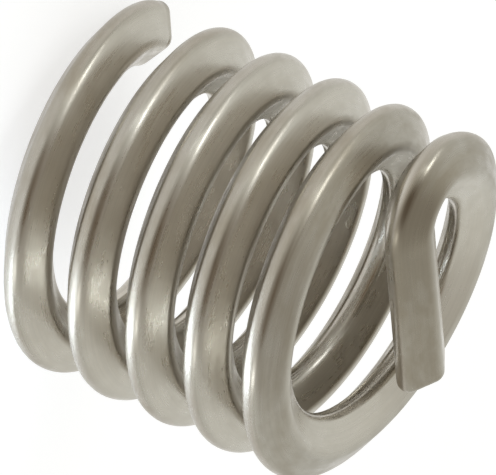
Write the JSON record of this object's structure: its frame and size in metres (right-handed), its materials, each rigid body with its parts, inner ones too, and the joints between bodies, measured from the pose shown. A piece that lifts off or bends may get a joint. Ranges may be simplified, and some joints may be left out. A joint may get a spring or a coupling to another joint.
{
  "type": "helical thread insert",
  "caption": "Coil of diamond-section wire that lines a tapped hole with a new internal thread, with a driving tang bent across its far end.",
  "frame": {"origin": "on the coil's axis, at the lowest point of its free end, which is the surface that it stands on", "axes": "+Z along the coil's axis from the free end to the tang, +X towards the cut face of the free end"},
  "size_m": [0.0046, 0.0045, 0.0049],
  "materials": {
    "stainless_wire": "satin rolled stainless wire"
  },
  "bodies": {
    "root": {"thread_insert": "stainless_wire"}
  },
  "joints": []
}
